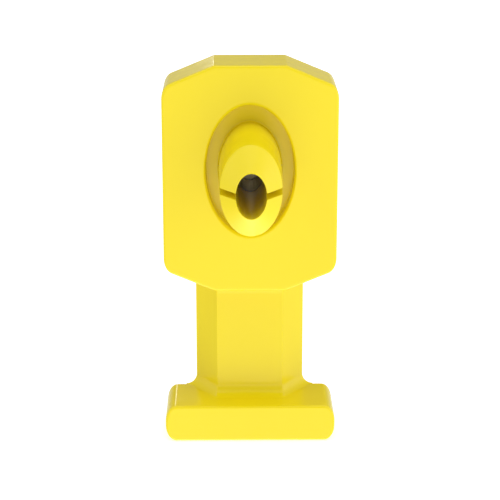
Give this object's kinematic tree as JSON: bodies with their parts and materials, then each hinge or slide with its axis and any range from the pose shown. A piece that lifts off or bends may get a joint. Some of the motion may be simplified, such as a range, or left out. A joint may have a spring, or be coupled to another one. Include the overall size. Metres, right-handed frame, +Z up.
{
  "type": "twist wire connector",
  "caption": "T-foot key with a turning octagonal head and a protruding oval wire nozzle split into two sprung, hinged jaws.",
  "frame": {"origin": "centre of the T-foot's flat underside", "axes": "+Z up along the stem, the wire nozzle points along -Y, +X along the foot bar"},
  "size_m": [0.0362, 0.0341, 0.0814],
  "materials": {
    "yellow_moulding": "smooth gloss moulded plastic",
    "spring_steel": "bright drawn steel",
    "contact_brass": "dull pressed brass",
    "seam_washer": "matte low-friction plastic",
    "cover_seal": "matte rubber"
  },
  "bodies": {
    "foot": {"twist_foot": "yellow_moulding", "swivel_spindle": "spring_steel", "cross_pin": "spring_steel", "seam_washer": "seam_washer", "wave_washer": "spring_steel", "stop_washer": "spring_steel", "retaining_clip": "spring_steel"},
    "head": {"head_shell": "yellow_moulding", "rear_cover": "yellow_moulding", "cover_seal": "cover_seal", "cover_screw_1": "spring_steel", "cover_screw_2": "spring_steel", "cover_screw_3": "spring_steel", "cover_screw_4": "spring_steel", "jaw_yoke": "spring_steel", "upper_pin": "spring_steel", "lower_pin": "spring_steel", "left_jaw_spring": "spring_steel", "right_jaw_spring": "spring_steel"},
    "upper_jaw": {"upper_jaw": "yellow_moulding", "upper_contact": "contact_brass"},
    "lower_jaw": {"lower_jaw": "yellow_moulding", "lower_contact": "contact_brass"}
  },
  "joints": [
    {"name": "head_turn", "type": "hinge", "parent": "foot", "child": "head", "pos_m": [0, 0.00275, 0.0325], "axis": [0, 0, 1], "range_deg": [-90, 90]},
    {"name": "upper_jaw_open", "type": "hinge", "parent": "head", "child": "upper_jaw", "pos_m": [0, 0.00045, 0.0694], "axis": [-1, 0, 0], "range_deg": [0, 2.5], "stiffness_Nm_per_rad": 0.05, "springref_deg": -8.59},
    {"name": "lower_jaw_open", "type": "hinge", "parent": "head", "child": "lower_jaw", "pos_m": [0, 0.00045, 0.0498], "axis": [1, 0, 0], "range_deg": [0, 2.5]}
  ],
  "couplings": [
    {"joint": "lower_jaw_open", "follows": "upper_jaw_open", "ratio": 1}
  ]
}
